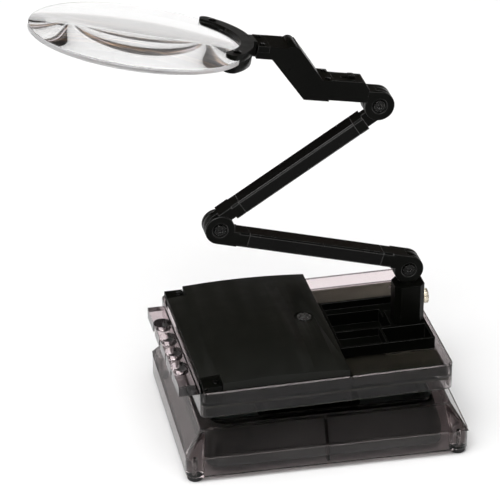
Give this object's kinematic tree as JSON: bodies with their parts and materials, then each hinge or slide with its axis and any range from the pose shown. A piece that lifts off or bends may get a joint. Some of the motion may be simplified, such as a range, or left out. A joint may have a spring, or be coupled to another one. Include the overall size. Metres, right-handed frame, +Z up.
{
  "type": "bench magnifier on a folding arm",
  "caption": "Hands-free rimless magnifier on a folding friction arm, standing on a swivelling see-through storage base with a hinged lid and tool rack.",
  "frame": {"origin": "middle of the whole object's footprint, on the surface it stands on", "axes": "+Z up; +X from the tool-rack end to the arm's column; +Y from the front long side to the rear one"},
  "size_m": [0.2619, 0.139, 0.2922],
  "materials": {
    "smoked_plastic": "smoked see-through polystyrene, moulded glossy",
    "pale_smoked_plastic": "lightly smoked see-through polystyrene, moulded glossy",
    "rack_plastic": "pale smoked see-through plastic",
    "black_plastic": "moulded black plastic, fine satin grain",
    "arm_tube_black": "black anodised, satin",
    "steel": "zinc-plated bright",
    "brass": "turned and fluted",
    "rubber": "soft moulded rubber",
    "white_bearing_plastic": "waxy low-friction plastic",
    "clear_acrylic": "polished optical acrylic",
    "lamp_epoxy": "clear epoxy lamp body",
    "circuit_board": "green glass-epoxy board"
  },
  "bodies": {
    "base": {"base_shell": "smoked_plastic", "base_bin": "black_plastic", "swivel_pedestal": "black_plastic", "pedestal_screws": "steel", "rubber_feet": "rubber", "foot_screws": "steel", "swivel_bearing_ring": "white_bearing_plastic", "swivel_retaining_washer": "steel", "swivel_retaining_screw": "steel"},
    "deck": {"deck_tray": "pale_smoked_plastic", "swivel_hub": "black_plastic", "hub_screws": "steel", "tool_rack": "rack_plastic", "compartment_insert": "black_plastic", "deck_under_plate": "black_plastic", "under_plate_screws": "steel", "arm_column": "black_plastic", "column_screws": "steel", "lid_hinge_blocks": "black_plastic", "hinge_block_screws": "steel"},
    "lid": {"storage_lid": "black_plastic", "lid_hinge_pins": "steel"},
    "lid_lock": {"lid_lock_knob": "steel", "lid_lock_tongue": "black_plastic"},
    "thumbscrew": {"thumbscrew": "brass"},
    "arm_post": {"arm_post": "black_plastic", "base_pivot_washers": "steel"},
    "lower_arm": {"lower_arm_tube": "arm_tube_black", "lower_arm_base_clevis": "black_plastic", "lower_arm_elbow_clevis": "black_plastic", "base_pivot_bolt": "steel", "base_pivot_nut": "steel", "elbow_pivot_bolt": "steel", "elbow_pivot_nut": "steel"},
    "upper_arm": {"upper_arm_tube": "arm_tube_black", "upper_arm_head_tongue": "black_plastic", "upper_arm_elbow_tongue": "black_plastic", "elbow_pivot_washers": "steel", "head_pivot_washers": "steel"},
    "head": {"head_case": "black_plastic", "battery_cover": "black_plastic", "button_cells": "steel", "battery_contacts": "steel", "z_bracket": "black_plastic", "z_bracket_cover": "black_plastic", "bracket_cover_screws": "steel", "bracket_joint_screws": "steel", "stem_cap": "black_plastic", "stem_cap_screws": "steel", "led_window": "clear_acrylic", "led_lamp": "lamp_epoxy", "led_board": "circuit_board", "head_pivot_bolt": "steel", "head_pivot_nut": "steel"},
    "light_switch": {"light_switch": "black_plastic"},
    "lens_holder": {"lens_yoke": "black_plastic", "lens_lower_jaw": "black_plastic", "yoke_screws": "steel", "lens": "clear_acrylic"}
  },
  "joints": [
    {"name": "deck_swivel", "type": "hinge", "parent": "base", "child": "deck", "pos_m": [0.03913, 0, 0.04], "axis": [0, 0, 1], "continuous": true},
    {"name": "lid_hinge", "type": "hinge", "parent": "deck", "child": "lid", "pos_m": [-0.03977, 0, 0.0649], "axis": [0, -1, 0], "range_deg": [0, 28]},
    {"name": "lid_lock_turn", "type": "hinge", "parent": "lid", "child": "lid_lock", "pos_m": [0.03833, 0.0065, 0.066], "axis": [0, 0, 1], "range_deg": [0, 90]},
    {"name": "thumbscrew_turn", "type": "hinge", "parent": "deck", "child": "thumbscrew", "pos_m": [0.11583, 0.001, 0.0768], "axis": [1, 0, 0], "range_deg": [0, 360]},
    {"name": "post_swivel", "type": "hinge", "parent": "deck", "child": "arm_post", "pos_m": [0.10383, 0.001, 0.085], "axis": [0, 0, 1], "range_deg": [-150, 150]},
    {"name": "shoulder", "type": "hinge", "parent": "arm_post", "child": "lower_arm", "pos_m": [0.10343, 0.001, 0.1003], "axis": [0, 1, 0], "range_deg": [-20, 70]},
    {"name": "elbow", "type": "hinge", "parent": "lower_arm", "child": "upper_arm", "pos_m": [-0.01817, 0.001, 0.1433], "axis": [0, -1, 0], "range_deg": [-41, 115]},
    {"name": "head_tilt", "type": "hinge", "parent": "upper_arm", "child": "head", "pos_m": [0.08173, 0.001, 0.2175], "axis": [0, 1, 0], "range_deg": [-41, 120]},
    {"name": "switch_slide", "type": "slide", "parent": "head", "child": "light_switch", "axis": [-0.9833, 0, 0.1822], "range_m": [0, 0.003]},
    {"name": "lens_swivel", "type": "hinge", "parent": "head", "child": "lens_holder", "pos_m": [0.00433, 0.001, 0.26358], "axis": [-0.9833, 0, 0.1822], "range_deg": [-35, 35]}
  ]
}
